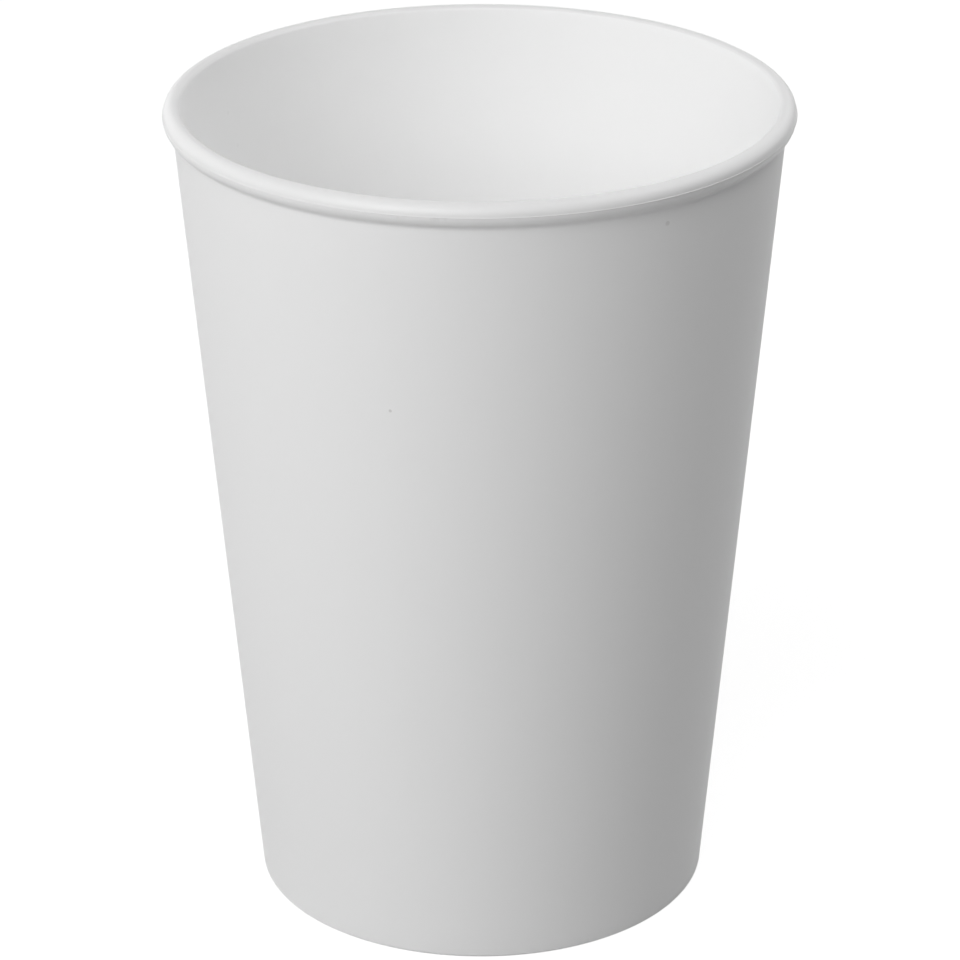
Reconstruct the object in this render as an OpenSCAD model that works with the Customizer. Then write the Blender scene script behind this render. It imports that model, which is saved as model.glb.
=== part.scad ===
// Moulded drinking cup in the form of a paper coffee cup: one thin tapered wall with a round
// bead at the rim, a floor raised inside a foot ring, and no seam, lid or sleeve.
// Millimetres, +Z up, origin at the centre of the circle that the cup stands on.

/* [Overall size] */
// Height of the cup, from the surface it stands on to the top of the rim
cup_height = 118.2; // [90:0.1:160]
// Diameter at the widest point, over the parting line of the rim bead
rim_diameter = 88.1; // [78:0.1:110]
// Diameter of the outer wall where its line meets the surface the cup stands on
foot_diameter = 65; // [50:0.1:78]

/* [Wall and floor] */
// Thickness of the side wall, measured square to it
wall_thickness = 1.35; // [0.8:0.05:2.5]
// Thickness of the floor
floor_thickness = 1.6; // [1:0.05:3]
// Radius of the fillet between the floor and the inside of the wall
floor_fillet = 4; // [1:0.1:10]

/* [Rim bead] */
// How far the widest point stands out from the crease, where the bead's underside meets the wall
bead_reach = 1.4; // [0.8:0.05:2.5]
// Radius of the fillet in that crease
crease_fillet = 1; // [0.1:0.05:1.2]
// Height of the bead above its parting line
bead_above = 1.65; // [0.8:0.05:3]
// Depth of the bead below its parting line, down to the crease
bead_below = 1.7; // [0.8:0.05:4]
// Radius of the bead's outer shoulder
shoulder_radius = 1.5; // [0.3:0.05:2]
// Radius of the lip, on the bead's inner side
lip_radius = 0.75; // [0.2:0.05:1.5]
// Height of the fine ridge that the two halves of the mould leave along the parting line
ridge_height = 0.1; // [0.02:0.01:0.3]
// Width of that ridge where it stands on the bead
ridge_width = 0.2; // [0.06:0.02:0.6]

/* [Foot ring] */
// How far the floor's underside is raised above the surface the cup stands on
foot_height = 3; // [1:0.1:8]
// Width of the foot ring at the bottom, before its edges are rounded
foot_width = 1.8; // [1.2:0.05:4]
// Radius on the outer edge of the foot ring
foot_outer_radius = 0.5; // [0.1:0.05:0.8]
// Radius on the inner edge of the foot ring
foot_inner_radius = 0.3; // [0.1:0.05:0.5]
// Draft of the foot ring's inner side, in degrees
foot_draft = 5; // [1:0.5:15]
// Radius of the fillet between the foot ring and the floor's underside
foot_fillet = 0.8; // [0.2:0.05:1]

/* [Gate mark] */
// Diameter of the mark that the mould's gate leaves in the middle of the underside
gate_diameter = 2.4; // [1:0.1:5]
// Height of the gate mark
gate_height = 0.3; // [0.1:0.05:0.8]

/* [Hidden] */

// Straight pieces in each rounded corner of the section, and in the bead's underside
arc_steps = 12;
// Sides of the circle in a preview: the solid is a true surface of revolution
$fn = 180;
// The largest share of a side that a rounding may take up
rounding_share = 0.99;

rim_radius = rim_diameter / 2;
foot_radius = foot_diameter / 2;
parting_z = cup_height - bead_above;
crease_z = parting_z - bead_below;
bead_radius = rim_radius - ridge_height;
crease_radius = rim_radius - bead_reach;
floor_z = foot_height + floor_thickness;

// The wall leans out by this angle, from the foot to the crease under the bead
wall_lean = atan((crease_radius - foot_radius) / crease_z);

// Directions along the wall and square to it, and the point where the bead's underside would
// meet the wall without the fillet
wall_up = [sin(wall_lean), cos(wall_lean)];
wall_out = [cos(wall_lean), -sin(wall_lean)];
crease = [crease_radius, crease_z];

// The bead's underside is one arc, upright at the ridge, which runs in towards the crease
underside_top_z = parting_z - ridge_width / 2;
underside_reach = bead_radius - crease_radius;
underside_depth = underside_top_z - crease_z;
underside_radius = (underside_reach ^ 2 + underside_depth ^ 2) / (2 * underside_reach);
underside_centre = [bead_radius - underside_radius, underside_top_z];

// The fillet touches the wall and the underside's arc, so its centre is one fillet radius from
// the wall and both radii from the arc's centre
beside_crease = crease + crease_fillet * wall_out - underside_centre;
height_along = beside_crease * wall_up;
reach_apart = underside_radius + crease_fillet;
fillet_drop = height_along + sqrt(height_along ^ 2 + reach_apart ^ 2 - beside_crease * beside_crease);
to_fillet = beside_crease - fillet_drop * wall_up;
fillet_centre = underside_centre + to_fillet;
underside_angle = atan2(-to_fillet.y, to_fillet.x);

// The rim's top, between the upright above the ridge and the inner side of the wall
side_height = bead_above - ridge_width / 2;
rim_width = bead_radius - inner_radius(cup_height);
lip = min(lip_radius, rounding_share * rim_width / 2);
shoulder = min(shoulder_radius, rounding_share * min(side_height, rim_width - lip));

// The recess under the floor, at the bottom of the foot ring and at the floor
recess_radius = foot_radius - foot_width;
recess_top_radius = recess_radius - foot_height * tan(foot_draft);
gate_radius = gate_diameter / 2;

// Radius of the wall's outer side at a height
function outer_radius(z) = foot_radius + z * tan(wall_lean);

// Radius of the wall's inner side at a height
function inner_radius(z) = outer_radius(z) - wall_thickness / cos(wall_lean);

function unit(v) = v / norm(v);

// The corner at b between a and c, rounded by an arc of radius r that touches both sides
function rounded(a, b, c, r) =
    let (
        to_a = unit(a - b),
        to_c = unit(c - b),
        half = acos(to_a * to_c) / 2,
        centre = b + unit(to_a + to_c) * r / sin(half),
        start = b + to_a * r / tan(half) - centre,
        turn = sign(cross(b - a, c - b)) * (180 - 2 * half)
    )
    [for (i = [0:arc_steps])
        let (angle = turn * i / arc_steps)
        centre + [
            start.x * cos(angle) - start.y * sin(angle),
            start.x * sin(angle) + start.y * cos(angle)
        ]
    ];

// Points on the circle of radius r about centre, between two angles
function arc(centre, r, first, last) =
    [for (i = [0:arc_steps])
        let (angle = first + (last - first) * i / arc_steps)
        centre + r * [cos(angle), sin(angle)]
    ];

// Outline of the cup's section, from the axis at the underside, up the outside, over the
// bead and down the inside back to the axis
function section() =
    let (
        gate_bottom = foot_height - gate_height,
        gate_top = [gate_radius, foot_height],
        recess_top = [recess_top_radius, foot_height],
        recess_edge = [recess_radius, 0],
        foot_edge = [foot_radius, 0],
        ridge_crest = [rim_radius, parting_z],
        ridge_top = [bead_radius, parting_z + ridge_width / 2],
        shoulder_corner = [bead_radius, cup_height],
        lip_corner = [inner_radius(cup_height), cup_height],
        floor_corner = [inner_radius(floor_z), floor_z],
        floor_centre = [0, floor_z]
    )
    concat(
        [[0, gate_bottom], [gate_radius, gate_bottom], gate_top],
        rounded(gate_top, recess_top, recess_edge, foot_fillet),
        rounded(recess_top, recess_edge, foot_edge, foot_inner_radius),
        rounded(recess_edge, foot_edge, crease, foot_outer_radius),
        arc(fillet_centre, crease_fillet, 180 - wall_lean, 180 - underside_angle),
        arc(underside_centre, underside_radius, -underside_angle, 0),
        [ridge_crest, ridge_top],
        rounded(ridge_top, shoulder_corner, lip_corner, shoulder),
        rounded(shoulder_corner, lip_corner, floor_corner, lip),
        rounded(lip_corner, floor_corner, floor_centre, floor_fillet),
        [floor_centre]
    );

module cup() {
    color([0.88, 0.88, 0.88])
        rotate_extrude()
            polygon(section());
}

cup();
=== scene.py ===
"""Looks of a moulded drinking cup: one tapered plastic shell with a round bead at the rim.

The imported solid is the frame. The shell here is the same body of revolution with a finer mesh,
in a fine matte plastic whose rim bead is smoother. Lengths are in metres, apart from the cup's
sizes, the flecks and names that end in _mm, which are in millimetres. +Z is up.
"""

import logging
import math
from dataclasses import dataclass, replace
from enum import Enum
from typing import Union

import bpy
import numpy as np
from mathutils import Matrix, Vector

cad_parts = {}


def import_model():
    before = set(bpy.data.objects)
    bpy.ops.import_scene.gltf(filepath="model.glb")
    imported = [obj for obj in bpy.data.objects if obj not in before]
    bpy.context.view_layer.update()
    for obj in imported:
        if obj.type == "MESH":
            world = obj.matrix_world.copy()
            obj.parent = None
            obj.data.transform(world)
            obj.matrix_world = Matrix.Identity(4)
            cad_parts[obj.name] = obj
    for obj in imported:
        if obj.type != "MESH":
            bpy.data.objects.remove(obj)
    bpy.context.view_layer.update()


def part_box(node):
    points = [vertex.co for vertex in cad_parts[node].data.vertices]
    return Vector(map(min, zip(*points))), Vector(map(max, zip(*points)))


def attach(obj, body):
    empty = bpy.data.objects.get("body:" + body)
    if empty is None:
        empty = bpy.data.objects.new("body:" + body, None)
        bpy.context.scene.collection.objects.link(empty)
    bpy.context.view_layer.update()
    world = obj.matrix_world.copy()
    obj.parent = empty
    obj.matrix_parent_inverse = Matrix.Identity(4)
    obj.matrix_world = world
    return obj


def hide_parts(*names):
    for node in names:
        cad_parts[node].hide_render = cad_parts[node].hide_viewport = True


log = logging.getLogger("moulded_cup")

MM = 0.001
CUP_NODE = "cup"
BODY = "root"
WHITE = (1.0, 1.0, 1.0, 1.0)

Number = Union[int, float]


class Maths(Enum):
    """Operations of the Math node that expressions on values use."""

    ADD = "ADD"
    SUBTRACT = "SUBTRACT"
    MULTIPLY = "MULTIPLY"
    POWER = "POWER"
    MAXIMUM = "MAXIMUM"


class Value:
    """A number output of a node that can stand in a Python expression."""

    def __init__(self, graph: "Graph", socket: bpy.types.NodeSocket) -> None:
        """Keeps the socket.

        Args:
            graph: The node tree that the socket belongs to.
            socket: The output that gives the number.
        """
        self.graph = graph
        self.socket = socket

    def _with(self, operation: Maths, first: "Operand", second: "Operand") -> "Value":
        """Adds one Math node.

        Args:
            operation: What the node works out.
            first: Its first operand.
            second: Its second operand.

        Returns:
            The node's result.
        """
        made = self.graph.node(
            "ShaderNodeMath", {"operation": operation.value}, {0: first, 1: second}
        )
        return self.graph.value(made, 0)

    def __add__(self, other: "Operand") -> "Value":
        """Sum."""
        return self._with(Maths.ADD, self, other)

    def __radd__(self, other: "Operand") -> "Value":
        """Sum with a plain number first."""
        return self._with(Maths.ADD, other, self)

    def __sub__(self, other: "Operand") -> "Value":
        """Difference."""
        return self._with(Maths.SUBTRACT, self, other)

    def __rsub__(self, other: "Operand") -> "Value":
        """Difference with a plain number first."""
        return self._with(Maths.SUBTRACT, other, self)

    def __mul__(self, other: "Operand") -> "Value":
        """Product."""
        return self._with(Maths.MULTIPLY, self, other)

    def __rmul__(self, other: "Operand") -> "Value":
        """Product with a plain number first."""
        return self._with(Maths.MULTIPLY, other, self)

    def __pow__(self, other: "Operand") -> "Value":
        """Power."""
        return self._with(Maths.POWER, self, other)

    def __rpow__(self, other: "Operand") -> "Value":
        """Power of a plain number."""
        return self._with(Maths.POWER, other, self)

    def larger(self, other: "Operand") -> "Value":
        """The larger of the two."""
        return self._with(Maths.MAXIMUM, self, other)

    def ramp(self, start: float, end: float) -> "Value":
        """A smooth step from 0 at start to 1 at end.

        Args:
            start: Where the step begins. It may lie above end, which turns the step round.
            end: Where the step is complete.

        Returns:
            The step's height.
        """
        made = self.graph.node(
            "ShaderNodeMapRange",
            {"interpolation_type": "SMOOTHSTEP"},
            {"Value": self, "From Min": start, "From Max": end, "To Min": 0.0, "To Max": 1.0},
        )
        return self.graph.value(made, "Result")


Operand = Union[Value, Number]
Colour = Union[tuple[float, float, float, float], bpy.types.NodeSocket]


class Graph:
    """The node tree of a material or of the world, emptied and ready to be built."""

    def __init__(self, owner: Union[bpy.types.Material, bpy.types.World]) -> None:
        """Empties the tree.

        Args:
            owner: The material or world that the tree belongs to.
        """
        self.owner = owner
        owner.use_nodes = True
        self.tree = owner.node_tree
        self.tree.nodes.clear()

    def node(self, kind: str, settings: dict, inputs: dict) -> bpy.types.Node:
        """Adds any node: its settings first, then its inputs.

        Args:
            kind: The node's type.
            settings: Attributes of the node, such as an operation.
            inputs: Socket name or index to a number, a colour, a Value or an output socket.

        Returns:
            The new node.
        """
        made = self.tree.nodes.new(kind)
        for name, setting in settings.items():
            setattr(made, name, setting)
        for key, given in inputs.items():
            source = given.socket if isinstance(given, Value) else given
            if isinstance(source, bpy.types.NodeSocket):
                self.tree.links.new(source, made.inputs[key])
            else:
                made.inputs[key].default_value = source
        return made

    def value(self, made: bpy.types.Node, output: Union[str, int]) -> Value:
        """One output of a node as a Value.

        Args:
            made: The node.
            output: The output's name or index.

        Returns:
            The output, ready for expressions.
        """
        return Value(self, made.outputs[output])

    def object_point(self) -> tuple[bpy.types.NodeSocket, Value, Value, Value]:
        """The shaded point in the object's own coordinates.

        Returns:
            The vector output, and its three parts as Values.
        """
        place = self.node("ShaderNodeTexCoord", {}, {}).outputs["Object"]
        parts = self.node("ShaderNodeSeparateXYZ", {}, {"Vector": place})
        return place, self.value(parts, "X"), self.value(parts, "Y"), self.value(parts, "Z")

    def seen(self) -> Value:
        """Tells rays that see the surface, straight, in a reflection or through glass, from others.

        Returns:
            1 for camera, glossy and transmission rays, and 0 for others.
        """
        rays = self.node("ShaderNodeLightPath", {}, {})
        straight = self.value(rays, "Is Camera Ray").larger(self.value(rays, "Is Glossy Ray"))
        return straight.larger(self.value(rays, "Is Transmission Ray"))

    def mixed(self, factor: Value, first: Colour, second: Colour) -> bpy.types.NodeSocket:
        """A colour between two others.

        Args:
            factor: 0 for the first colour, 1 for the second.
            first: A colour or a colour output.
            second: A colour or a colour output.

        Returns:
            The colour output.
        """
        # Set to colours, a Mix node takes its factor at 0 and its colours at 6 and 7
        made = self.node("ShaderNodeMix", {"data_type": "RGBA"}, {0: factor, 6: first, 7: second})
        return made.outputs[2]

    def noise(self, place: bpy.types.NodeSocket, scale: float, detail: float) -> Value:
        """Fractal noise about 0.5.

        Args:
            place: The coordinates that it is read at.
            scale: Grains per metre.
            detail: Octaves.

        Returns:
            The noise.
        """
        made = self.node(
            "ShaderNodeTexNoise", {}, {"Vector": place, "Scale": scale, "Detail": detail}
        )
        return self.value(made, 0)

    def finish(self, shader: bpy.types.NodeSocket) -> None:
        """Connects the surface.

        Args:
            shader: The shader output that the surface takes.
        """
        is_world = isinstance(self.owner, bpy.types.World)
        kind = "ShaderNodeOutputWorld" if is_world else "ShaderNodeOutputMaterial"
        self.node(kind, {}, {"Surface": shader})


@dataclass(frozen=True)
class CupSizes:
    """Sizes of the cup in millimetres, the ones the solid is made from."""

    cup_height: float = 118.2
    rim_diameter: float = 88.1
    foot_diameter: float = 65.0
    wall_thickness: float = 1.35
    floor_thickness: float = 1.6
    floor_fillet: float = 4.0
    bead_reach: float = 1.4
    crease_fillet: float = 1.0
    bead_above: float = 1.65
    bead_below: float = 1.7
    shoulder_radius: float = 1.5
    lip_radius: float = 0.75
    ridge_height: float = 0.1
    ridge_width: float = 0.2
    foot_height: float = 3.0
    foot_width: float = 1.8
    foot_outer_radius: float = 0.5
    foot_inner_radius: float = 0.3
    foot_draft_deg: float = 5.0
    foot_fillet: float = 0.8
    gate_diameter: float = 2.4
    gate_height: float = 0.3

    @property
    def rim_radius(self) -> float:
        """Radius at the widest point, the crest of the parting line's ridge."""
        return self.rim_diameter / 2

    @property
    def foot_radius(self) -> float:
        """Radius of the wall's line where it meets the table."""
        return self.foot_diameter / 2

    @property
    def parting_z(self) -> float:
        """Height of the parting line."""
        return self.cup_height - self.bead_above

    @property
    def crease_z(self) -> float:
        """Height of the crease under the bead."""
        return self.parting_z - self.bead_below

    @property
    def lean(self) -> float:
        """Tangent of the angle by which the wall leans out."""
        return (self.rim_radius - self.bead_reach - self.foot_radius) / self.crease_z

    def outer(self, z: float) -> float:
        """Radius of the wall's outer side at height z."""
        return self.foot_radius + z * self.lean

    def inner(self, z: float) -> float:
        """Radius of the wall's inner side at height z."""
        return self.outer(z) - self.wall_thickness * math.hypot(1.0, self.lean)


def line(start: np.ndarray, end: np.ndarray, pieces: int) -> np.ndarray:
    """Points along a straight side, without its first and last: start + (end - start) * t.

    Args:
        start: One end.
        end: The other end.
        pieces: How many pieces the side is cut into.

    Returns:
        The inner points, one row each.
    """
    t = np.arange(1, pieces)[:, None] / pieces
    return start + (end - start) * t


def arc(centre: np.ndarray, radius: float, first: float, last: float, steps: int) -> np.ndarray:
    """Points on a circle between two angles: centre + radius * (cos, sin).

    Args:
        centre: The circle's centre.
        radius: Its radius.
        first: The first point's angle.
        last: The last point's angle.
        steps: How many pieces the arc has.

    Returns:
        The points, one row each.
    """
    angle = np.linspace(first, last, steps + 1)
    return centre + radius * np.stack([np.cos(angle), np.sin(angle)], axis=1)


def rounded(a: np.ndarray, b: np.ndarray, c: np.ndarray, radius: float, steps: int) -> np.ndarray:
    """The corner at b between a and c, rounded by an arc that touches both sides.

    The centre lies on the corner's bisector at radius / sin(half), and the arc's first radius
    vector is turned about it in equal steps through 180 degrees less the corner's own angle.

    Args:
        a: A point on the side before the corner.
        b: The corner.
        c: A point on the side after the corner.
        radius: The arc's radius.
        steps: How many pieces the arc has.

    Returns:
        The arc's points, one row each.
    """
    to_a = (a - b) / np.linalg.norm(a - b)
    to_c = (c - b) / np.linalg.norm(c - b)
    half = math.acos(float(to_a @ to_c)) / 2
    bisector = (to_a + to_c) / np.linalg.norm(to_a + to_c)
    centre = b + bisector * radius / math.sin(half)
    start = b + to_a * radius / math.tan(half) - centre
    before, after = b - a, c - b
    side = math.copysign(1.0, before[0] * after[1] - before[1] * after[0])
    angle = side * (math.pi - 2 * half) * np.arange(steps + 1) / steps
    turned_r = start[0] * np.cos(angle) - start[1] * np.sin(angle)
    turned_z = start[0] * np.sin(angle) + start[1] * np.cos(angle)
    return centre + np.stack([turned_r, turned_z], axis=1)


@dataclass(frozen=True)
class Shell:
    """The cup's one moulded shell, as a surface of revolution."""

    sizes: CupSizes
    around: int = 400
    arc_steps: int = 14
    wall_pieces: int = 46
    floor_pieces: int = 12
    sharp_from_deg: float = 40.0

    def section(self) -> np.ndarray:
        """Outline of the section, from the axis under the floor, up and over the rim, and back.

        Each corner is an arc tangent to its two sides. The bead's underside is an arc that is
        upright under the ridge and would have run in by its reach at the crease, so its radius
        is (reach squared + depth squared) / (2 * reach). The crease has a fillet whose centre is
        one fillet radius from the wall and both radii from the underside's centre.

        Returns:
            Radius and height of each point, in millimetres.
        """
        s = self.sizes
        recess_r = s.foot_radius - s.foot_width
        recess_top_r = recess_r - s.foot_height * math.tan(math.radians(s.foot_draft_deg))
        floor_z = s.foot_height + s.floor_thickness
        gate_r = s.gate_diameter / 2
        gate_z = s.foot_height - s.gate_height
        bead_r = s.rim_radius - s.ridge_height
        under_z = s.parting_z - s.ridge_width / 2

        gate_top = np.array([gate_r, s.foot_height])
        recess_top = np.array([recess_top_r, s.foot_height])
        recess_edge = np.array([recess_r, 0.0])
        foot_edge = np.array([s.foot_radius, 0.0])
        crease = np.array([s.rim_radius - s.bead_reach, s.crease_z])
        ridge_crest = np.array([s.rim_radius, s.parting_z])
        ridge_top = np.array([bead_r, s.parting_z + s.ridge_width / 2])
        shoulder_corner = np.array([bead_r, s.cup_height])
        lip_corner = np.array([s.inner(s.cup_height), s.cup_height])
        floor_corner = np.array([s.inner(floor_z), floor_z])
        floor_centre = np.array([0.0, floor_z])

        reach, depth = bead_r - crease[0], under_z - crease[1]
        under_radius = (reach**2 + depth**2) / (2 * reach)
        under_centre = np.array([bead_r - under_radius, under_z])
        wall_angle = math.atan(s.lean)
        up = np.array([math.sin(wall_angle), math.cos(wall_angle)])
        out = np.array([math.cos(wall_angle), -math.sin(wall_angle)])
        beside = crease + s.crease_fillet * out - under_centre
        along = float(beside @ up)
        apart = under_radius + s.crease_fillet
        drop = along + math.sqrt(along**2 + apart**2 - float(beside @ beside))
        to_fillet = beside - drop * up
        under_angle = math.atan2(-to_fillet[1], to_fillet[0])

        steps = self.arc_steps
        crease_arc = arc(
            under_centre + to_fillet,
            s.crease_fillet,
            math.pi - wall_angle,
            math.pi - under_angle,
            steps,
        )
        underside = arc(under_centre, under_radius, -under_angle, 0.0, steps)
        recess_fillet = rounded(gate_top, recess_top, recess_edge, s.foot_fillet, steps)
        inner_edge = rounded(recess_top, recess_edge, foot_edge, s.foot_inner_radius, steps)
        outer_edge = rounded(recess_edge, foot_edge, crease, s.foot_outer_radius, steps)
        shoulder = rounded(ridge_top, shoulder_corner, lip_corner, s.shoulder_radius, steps)
        lip = rounded(shoulder_corner, lip_corner, floor_corner, s.lip_radius, steps)
        fillet = rounded(lip_corner, floor_corner, floor_centre, s.floor_fillet, steps)
        return np.concatenate(
            [
                np.array([[0.0, gate_z], [gate_r, gate_z]]),
                gate_top[None],
                line(gate_top, recess_fillet[0], self.floor_pieces),
                recess_fillet,
                inner_edge,
                outer_edge,
                line(outer_edge[-1], crease_arc[0], self.wall_pieces),
                crease_arc,
                underside[1:],
                ridge_crest[None],
                ridge_top[None],
                shoulder,
                lip,
                line(lip[-1], fillet[0], self.wall_pieces),
                fillet,
                line(fillet[-1], floor_centre, self.floor_pieces),
                floor_centre[None],
            ]
        )

    def soften_crest(self, mesh: bpy.types.Mesh) -> None:
        """Takes the sharp mark off the crest of the parting line's ridge, which is worn round.

        Args:
            mesh: The shell's mesh, with its sharp edges marked.
        """
        ends = np.empty(2 * len(mesh.edges), np.int32)
        mesh.edges.foreach_get("vertices", ends)
        places = np.empty(3 * len(mesh.vertices), np.float32)
        mesh.vertices.foreach_get("co", places)
        height = places.reshape(-1, 3)[ends.reshape(-1, 2), 2].mean(axis=1)
        sharp = np.empty(len(mesh.edges), bool)
        mesh.edges.foreach_get("use_edge_sharp", sharp)
        quarter = self.sizes.ridge_width * MM / 4
        sharp[np.abs(height - self.sizes.parting_z * MM) < quarter] = False
        mesh.edges.foreach_set("use_edge_sharp", sharp)

    def build(self, name: str) -> bpy.types.Object:
        """Turns the section about the axis: x = r cos(a), y = r sin(a), z = z.

        The first and last points lie on the axis and become single vertices, closed with fans.

        Args:
            name: The object's name.

        Returns:
            The shell, in metres, with its place in its mesh.
        """
        outline = self.section() * MM
        rings = outline[1:-1]
        angle = 2 * math.pi * np.arange(self.around) / self.around
        grid = np.stack(
            [
                rings[:, :1] * np.cos(angle),
                rings[:, :1] * np.sin(angle),
                np.repeat(rings[:, 1:], self.around, axis=1),
            ],
            axis=2,
        )
        poles = np.array([[0.0, 0.0, outline[0, 1]], [0.0, 0.0, outline[-1, 1]]])
        points = np.concatenate([grid.reshape(-1, 3), poles])

        here = np.arange(self.around)
        following = (here + 1) % self.around
        base = (np.arange(len(rings) - 1) * self.around)[:, None]
        quads = np.stack(
            [
                base + here,
                base + following,
                base + following + self.around,
                base + here + self.around,
            ],
            axis=2,
        ).reshape(-1, 4)
        low_pole, high_pole = len(points) - 2, len(points) - 1
        last = (len(rings) - 1) * self.around
        low_fan = np.stack([np.full(self.around, low_pole), following, here], axis=1)
        high_fan = np.stack([np.full(self.around, high_pole), last + here, last + following], axis=1)

        mesh = bpy.data.meshes.new(name)
        faces = quads.tolist() + low_fan.tolist() + high_fan.tolist()
        mesh.from_pydata(points.tolist(), [], faces)
        mesh.shade_smooth()
        mesh.set_sharp_from_angle(angle=math.radians(self.sharp_from_deg))
        self.soften_crest(mesh)
        mesh.update()
        shell = bpy.data.objects.new(name, mesh)
        bpy.context.scene.collection.objects.link(shell)
        return shell


@dataclass(frozen=True)
class Speck:
    """A small dark fleck in the plastic: its place and radius in millimetres, and its depth."""

    place: tuple[float, float, float]
    radius: float
    darkness: float

    def mask(self, graph: Graph, place: bpy.types.NodeSocket) -> Value:
        """The fleck's darkness where it lies, and 0 elsewhere.

        It is a smooth step of the distance from the fleck's middle, between its radius and
        half of that.

        Args:
            graph: The material's nodes.
            place: The shaded point in the object's coordinates.

        Returns:
            The darkness.
        """
        away = graph.node(
            "ShaderNodeVectorMath",
            {"operation": "DISTANCE"},
            {0: place, 1: tuple(c * MM for c in self.place)},
        )
        near = graph.value(away, "Value").ramp(self.radius * MM, self.radius * MM / 2)
        return near * self.darkness


@dataclass(frozen=True)
class MattePlastic:
    """White moulded plastic, fine matte on the wall and smoother on the bead, with painted shade on
    the bead.

    The bead is the wall's own white plastic; its greyer colour is painted shade that darkens the
    bead, which faces up more than the wall. Its smoother finish and this painted shade set in
    between two depths below the parting line, and just past the line where the lip's rounding
    begins on the inside.
    """

    colour: tuple[float, float, float] = (0.97, 0.97, 0.97)
    # Painted shade: the bead is the same white plastic, greyed to darken it against the wall
    bead_painted_shade_colour: tuple[float, float, float] = (0.91, 0.91, 0.91)
    wall_roughness: float = 0.6
    bead_roughness: float = 0.35
    refraction: float = 1.49
    bead_from_mm: float = 1.2
    bead_full_mm: float = 0.5
    lip_fade_mm: float = 0.15
    grain_per_metre: float = 6000.0
    grain_octaves: float = 2.0
    grain_strength: float = 0.5
    grain_depth: float = 0.00001
    fleck_colour: tuple[float, float, float] = (0.3, 0.29, 0.28)
    flecks: tuple[Speck, ...] = (
        # One on the wall, and one just under the bead
        Speck((-12.05, -38.33, 87.2), 0.3, 0.3),
        Speck((24.76, -34.42, 112.3), 0.45, 0.22),
        # Two faint ones inside, near the rim
        Speck((-36.0, 19.0, 109.5), 0.4, 0.06),
        Speck((-34.9, 20.2, 104.2), 0.4, 0.06),
        # A short faint mark along the parting line
        Speck((-6.3, -43.48, 116.3), 0.35, 0.07),
        Speck((-5.9, -43.55, 116.3), 0.4, 0.09),
        Speck((-5.5, -43.6, 116.3), 0.35, 0.08),
        Speck((-4.5, -43.7, 116.35), 0.3, 0.05),
        Speck((-10.7, -42.6, 116.25), 0.3, 0.05),
    )

    def material(self, sizes: CupSizes) -> bpy.types.Material:
        """Builds the material.

        Args:
            sizes: The cup's sizes, which place the bead.

        Returns:
            The material.
        """
        material = bpy.data.materials.new("matte_plastic")
        graph = Graph(material)
        place, across, along, height = graph.object_point()
        parting = sizes.parting_z * MM
        inside = sizes.inner(sizes.cup_height) * MM
        radius = (across * across + along * along) ** 0.5
        above = height.ramp(parting - self.bead_from_mm * MM, parting - self.bead_full_mm * MM)
        bead = above * radius.ramp(inside, inside + self.lip_fade_mm * MM)
        roughness = self.wall_roughness * (1 - bead) + self.bead_roughness * bead

        grain = graph.noise(place, self.grain_per_metre, self.grain_octaves)
        bump = graph.node(
            "ShaderNodeBump",
            {},
            {"Strength": self.grain_strength, "Distance": self.grain_depth, "Height": grain},
        )
        fleck = self.flecks[0].mask(graph, place)
        for other in self.flecks[1:]:
            fleck = fleck.larger(other.mask(graph, place))
        # The wall's colour, with the bead's painted shade mixed in over the bead
        plain = graph.mixed(bead, (*self.colour, 1.0), (*self.bead_painted_shade_colour, 1.0))
        shader = graph.node(
            "ShaderNodeBsdfPrincipled",
            {},
            {
                "Base Color": graph.mixed(fleck, plain, (*self.fleck_colour, 1.0)),
                "Roughness": roughness,
                "IOR": self.refraction,
                "Normal": bump.outputs["Normal"],
            },
        )
        graph.finish(shader.outputs["BSDF"])
        return material


@dataclass(frozen=True)
class Backdrop:
    """A floor that looks white to the camera and keeps the cup's shadow."""

    colour: tuple[float, float, float] = (0.4, 0.4, 0.4)
    lift: float = 0.8
    half_width: float = 3.0

    def build(self) -> None:
        """Makes the floor and its material."""
        material = bpy.data.materials.new("pale_floor")
        graph = Graph(material)
        diffuse = graph.node("ShaderNodeBsdfDiffuse", {}, {"Color": (*self.colour, 1.0)})
        lifted = graph.seen() * self.lift
        glow = graph.node("ShaderNodeEmission", {}, {"Color": WHITE, "Strength": lifted})
        both = graph.node("ShaderNodeAddShader", {}, {0: diffuse.outputs[0], 1: glow.outputs[0]})
        graph.finish(both.outputs[0])
        w = self.half_width
        mesh = bpy.data.meshes.new("floor")
        mesh.from_pydata([(-w, -w, 0), (w, -w, 0), (w, w, 0), (-w, w, 0)], [], [(0, 1, 2, 3)])
        mesh.materials.append(material)
        floor = bpy.data.objects.new("floor", mesh)
        bpy.context.scene.collection.objects.link(floor)


@dataclass(frozen=True)
class Softbox:
    """One square area light that looks at a point, from an azimuth that grows from -Y to +X."""

    name: str
    azimuth_deg: float
    elevation_deg: float
    width: float
    power: float
    distance: float = 1.0

    def build(self, target: Vector) -> None:
        """Makes the light.

        Args:
            target: The point it is aimed at.
        """
        a, e = math.radians(self.azimuth_deg), math.radians(self.elevation_deg)
        away = Vector((math.sin(a) * math.cos(e), -math.cos(a) * math.cos(e), math.sin(e)))
        data = bpy.data.lights.new(self.name, "AREA")
        data.shape = "SQUARE"
        data.size = self.width
        data.energy = self.power
        lamp = bpy.data.objects.new(self.name, data)
        lamp.location = target + away * self.distance
        lamp.rotation_mode = "QUATERNION"
        lamp.rotation_quaternion = (-away).to_track_quat("-Z", "Y")
        bpy.context.scene.collection.objects.link(lamp)


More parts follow.
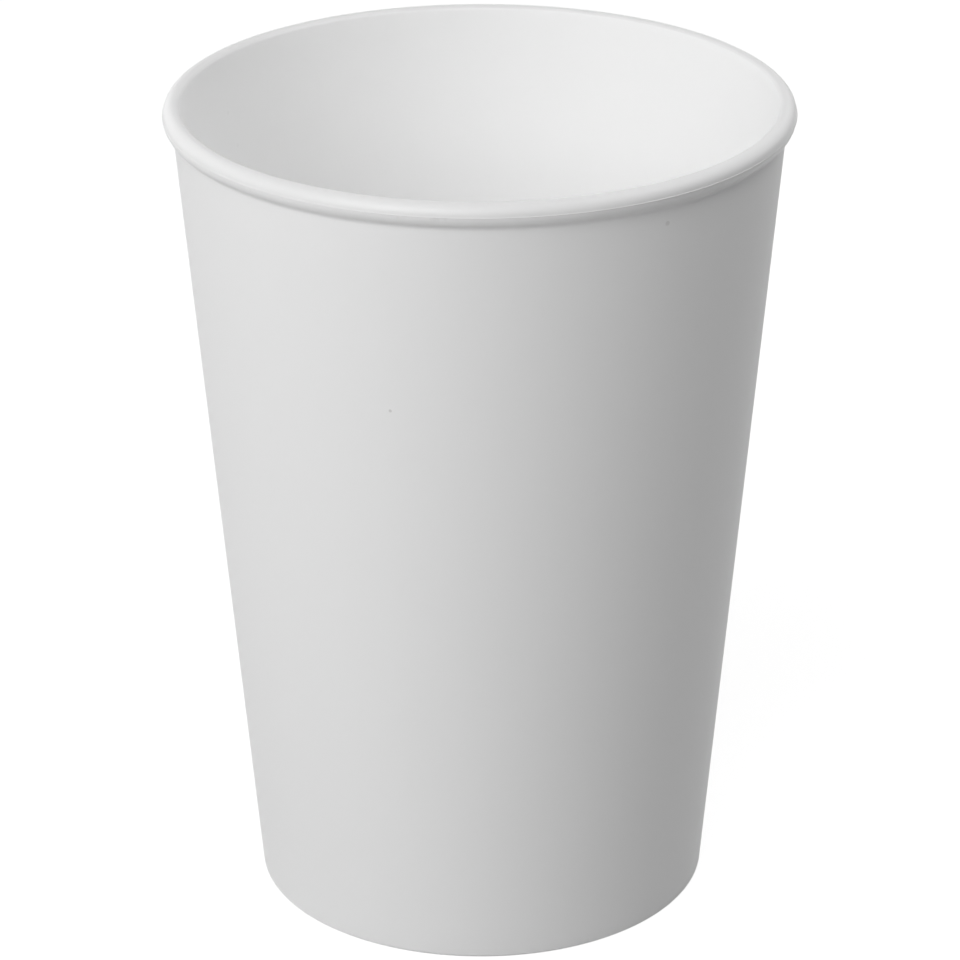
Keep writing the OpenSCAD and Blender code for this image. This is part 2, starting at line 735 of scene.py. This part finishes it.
@dataclass(frozen=True)
class Studio:
    """Plain soft light round the cup."""

    boxes: tuple[Softbox, ...] = (
        # Name, azimuth and elevation in degrees, width in metres, power in watts
        Softbox("streak", -45.0, 65.0, 0.25, 0.25),
        Softbox("key", -40.0, 50.0, 0.5, 0.4),
        Softbox("left", -50.0, 35.0, 0.7, 1.45),
        Softbox("left_low", -50.0, 20.0, 0.7, 0.93),
        Softbox("front", -18.0, 36.0, 0.7, 3.07),
        Softbox("front_low", -30.0, 18.0, 0.7, 1.37),
        Softbox("left_side", -100.0, 18.0, 0.8, 1.35),
        Softbox("back_left", -140.0, 18.0, 0.8, 1.55),
        Softbox("right_side", 108.0, 34.0, 0.8, 1.45),
        Softbox("back_right", 145.0, 34.0, 0.8, 1.45),
        Softbox("right_high", 90.0, 60.0, 0.6, 1.9),
    )
    diffuse_bounces: int = 12

    def build(self, target: Vector) -> None:
        """Makes the world and the lights.

        The world is white to the rays that see it and gives no light of its own. The inside of
        a white cup is lit by its own walls many times over, so light is followed that far.

        Args:
            target: The point that the lights look at.
        """
        world = bpy.data.worlds.new("white_room")
        graph = Graph(world)
        lit = {"Color": WHITE, "Strength": graph.seen()}
        white = graph.node("ShaderNodeBackground", {}, lit)
        graph.finish(white.outputs[0])
        bpy.context.scene.world = world
        bpy.context.scene.cycles.diffuse_bounces = self.diffuse_bounces
        for box in self.boxes:
            box.build(target)


@dataclass(frozen=True)
class PhotoCamera:
    """The photograph's view: where the camera stands and how it is turned."""

    elevation_deg: float = 23.8727
    distance: float = 0.6263268
    focal_px: float = 4344.75
    picture_px: float = 960.0
    axis_px: tuple[float, float] = (480.727, 486.898)
    roll_deg: float = -0.1653
    sensor_mm: float = 36.0
    nearest: float = 0.01
    farthest: float = 20.0

    def build(self, target: Vector) -> None:
        """Makes the camera.

        It stands in front of the cup, raised by its elevation. Pan and tilt turn it until the
        target shows at axis_px, and the roll comes last.

        Args:
            target: The point on the cup's axis that shows at axis_px.
        """
        e = math.radians(self.elevation_deg)
        back = Vector((0.0, -math.cos(e), math.sin(e)))
        right = Vector((1.0, 0.0, 0.0))
        up = Vector((0.0, math.sin(e), math.cos(e)))
        centre = self.picture_px / 2
        pan = math.atan2(self.axis_px[0] - centre, self.focal_px)
        tilt = math.atan2(self.axis_px[1] - centre, self.focal_px)
        forward = -back
        panned_right = right * math.cos(pan) + forward * math.sin(pan)
        panned_forward = forward * math.cos(pan) - right * math.sin(pan)
        tilted_up = up * math.cos(tilt) - panned_forward * math.sin(tilt)
        tilted_forward = panned_forward * math.cos(tilt) + up * math.sin(tilt)
        roll = math.radians(self.roll_deg)
        camera_x = panned_right * math.cos(roll) + tilted_up * math.sin(roll)
        camera_y = tilted_up * math.cos(roll) - panned_right * math.sin(roll)
        data = bpy.data.cameras.new("photo_camera")
        data.sensor_width = self.sensor_mm
        data.lens = self.focal_px * self.sensor_mm / self.picture_px
        data.clip_start = self.nearest
        data.clip_end = self.farthest
        camera = bpy.data.objects.new("photo_camera", data)
        turn = Matrix((camera_x, camera_y, -tilted_forward)).transposed()
        camera.matrix_world = Matrix.Translation(target + back * self.distance) @ turn.to_4x4()
        bpy.context.scene.collection.objects.link(camera)
        bpy.context.scene.camera = camera


def main() -> None:
    """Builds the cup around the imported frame, and lights and frames it."""
    logging.basicConfig(level=logging.INFO, format="%(message)s")
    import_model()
    low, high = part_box(CUP_NODE)
    # The solid's mesh reaches less far on some sides, and the shell stays inside its box
    rim_radius = min(high.x, high.y, -low.x, -low.y)
    sizes = replace(CupSizes(), rim_diameter=2 * rim_radius / MM)
    shell = Shell(sizes).build("cup_shell")
    shell.data.materials.append(MattePlastic().material(sizes))
    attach(shell, BODY)
    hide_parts(CUP_NODE)
    log.info("cup_shell: %d faces", len(shell.data.polygons))

    middle = Vector((0.0, 0.0, sizes.cup_height * MM / 2))
    Backdrop().build()
    Studio().build(middle)
    PhotoCamera().build(middle)

    scene = bpy.context.scene
    scene.view_settings.view_transform = "Standard"


if __name__ == "__main__":
    main()
